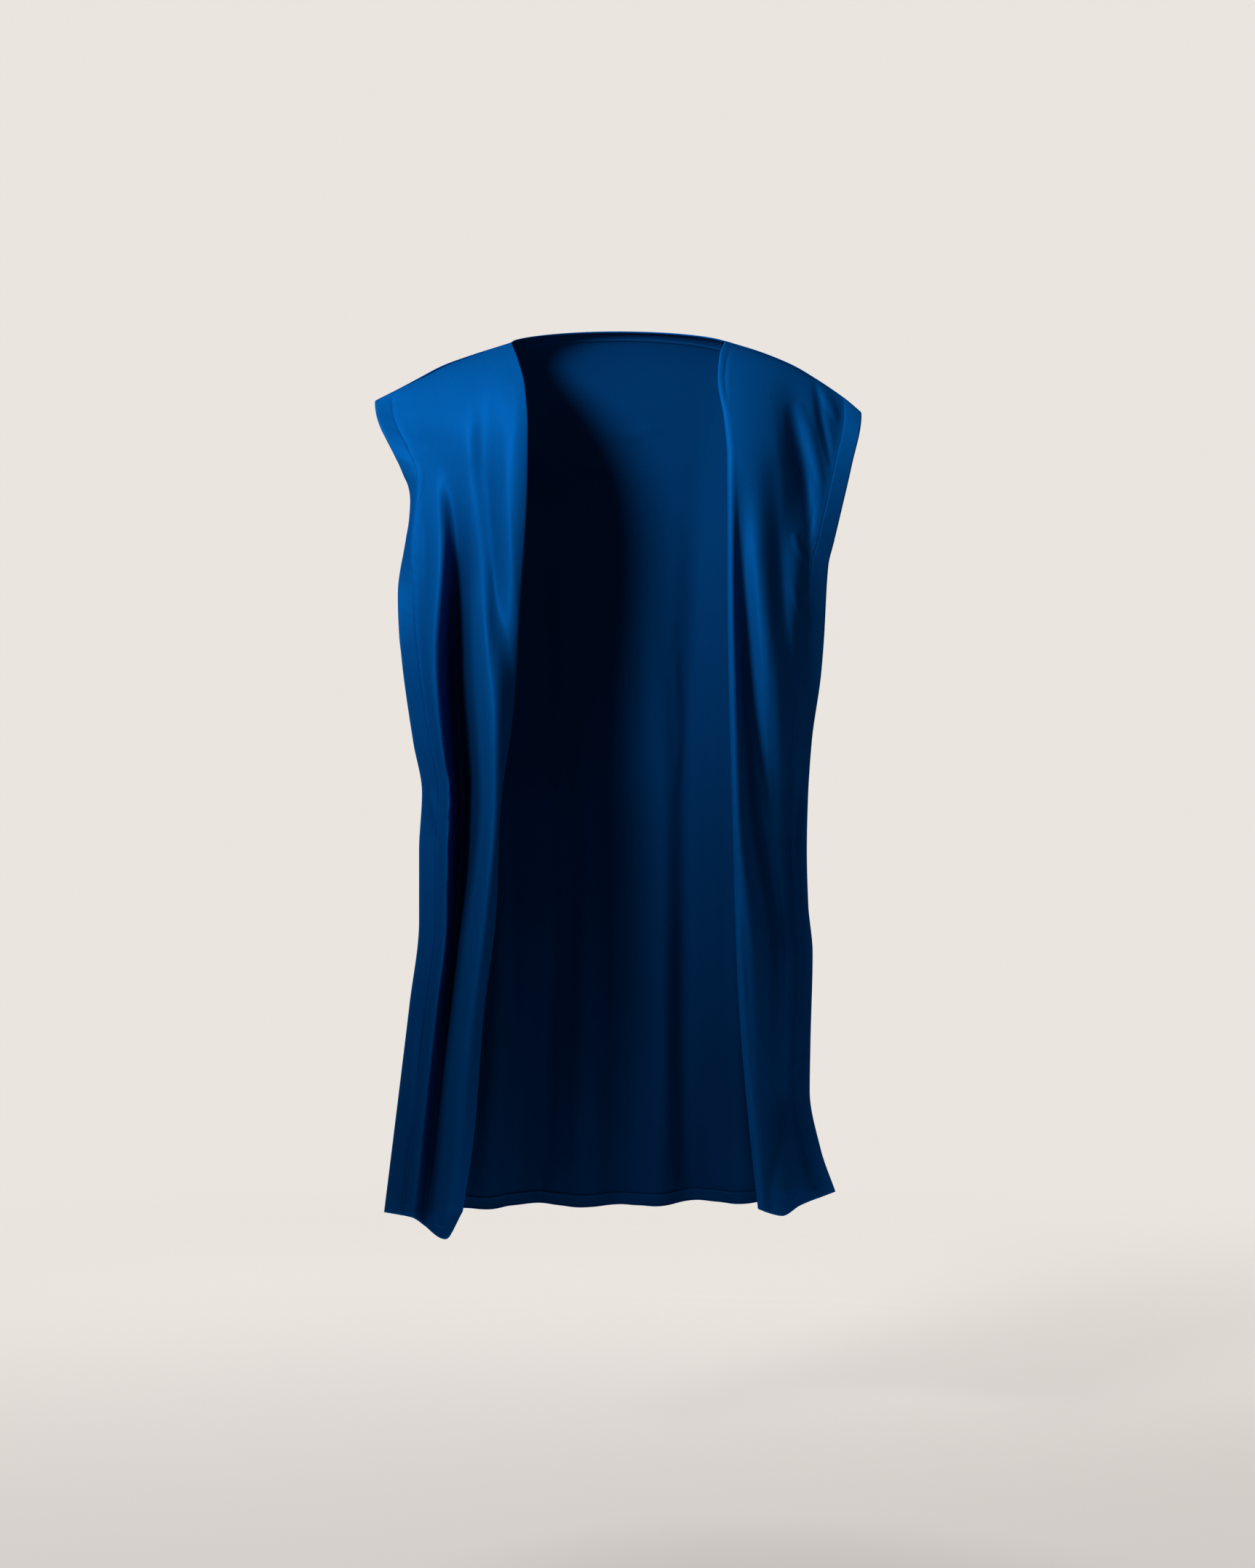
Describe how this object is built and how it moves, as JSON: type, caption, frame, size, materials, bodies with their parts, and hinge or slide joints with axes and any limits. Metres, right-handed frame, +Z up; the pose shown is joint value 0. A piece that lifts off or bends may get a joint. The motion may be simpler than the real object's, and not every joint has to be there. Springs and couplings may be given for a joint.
{
  "type": "grand boubou robe, open-fronted",
  "caption": "Wide knee-length outer robe that hangs from the shoulders, open down the front, with large armholes, side seams and turned hems.",
  "frame": {"origin": "midway between the shoulders, at the height where the shoulder seams end beside the neck and in the plane of those seams", "axes": "+Z up the wearer's body, front faces -Y, +X to the wearer's left"},
  "size_m": [0.669, 0.3067, 1.2404],
  "materials": {
    "robe_cloth": "plain woven suiting in petrol blue with a soft satin sheen",
    "robe_band": "the same petrol blue cloth, turned in and stitched"
  },
  "bodies": {
    "root": {"front_right_panel": "robe_cloth", "front_left_panel": "robe_cloth", "back_panel": "robe_cloth", "armhole_band_front_right": "robe_band", "armhole_band_front_left": "robe_band", "armhole_band_back_right": "robe_band", "armhole_band_back_left": "robe_band", "side_band_front_right": "robe_band", "side_band_front_left": "robe_band", "side_band_back_right": "robe_band", "side_band_back_left": "robe_band", "front_edge_facing_right": "robe_band", "front_edge_facing_left": "robe_band", "neck_facing_back": "robe_band", "hem_band_front_right": "robe_band", "hem_band_front_left": "robe_band", "hem_band_back": "robe_band"}
  },
  "joints": []
}
